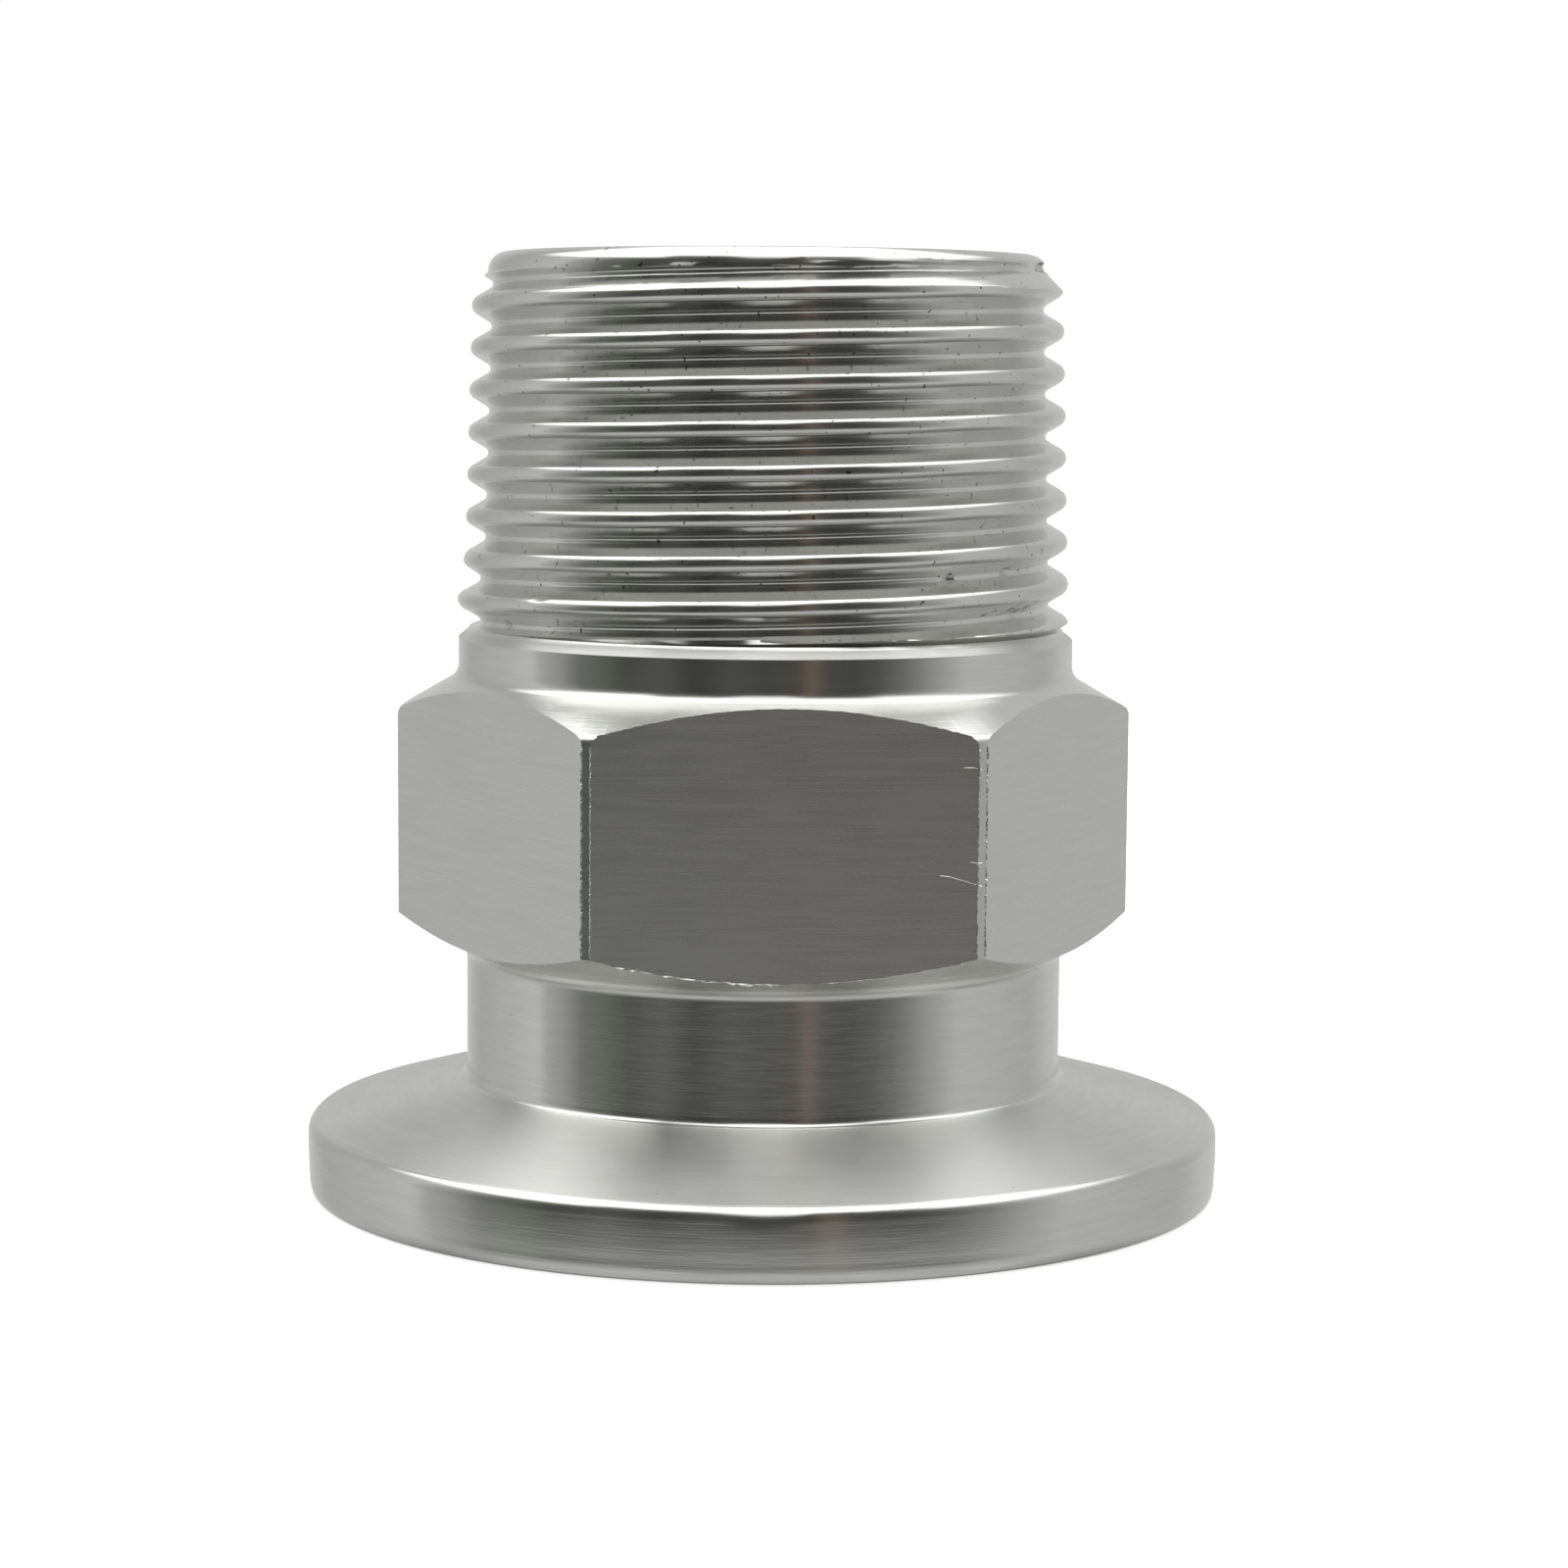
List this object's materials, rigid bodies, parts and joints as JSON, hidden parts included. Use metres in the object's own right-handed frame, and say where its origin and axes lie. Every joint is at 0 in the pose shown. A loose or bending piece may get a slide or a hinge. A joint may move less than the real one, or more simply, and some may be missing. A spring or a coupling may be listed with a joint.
{
  "type": "vacuum flange threaded adapter",
  "caption": "Short stainless vacuum adapter: a clamped tapered-back flange at the foot, a spanner hexagon and a tapered male pipe thread, with a straight bore through it.",
  "frame": {"origin": "centre of the flange's sealing face, which the piece stands on", "axes": "+Z along the bore, from the flange towards the threaded end; -Y towards the viewer of the picture"},
  "size_m": [0.04, 0.04, 0.0407],
  "materials": {
    "stainless_steel": "turned and milled stainless steel with fine tool lines"
  },
  "bodies": {
    "root": {"adapter_body": "stainless_steel"}
  },
  "joints": []
}
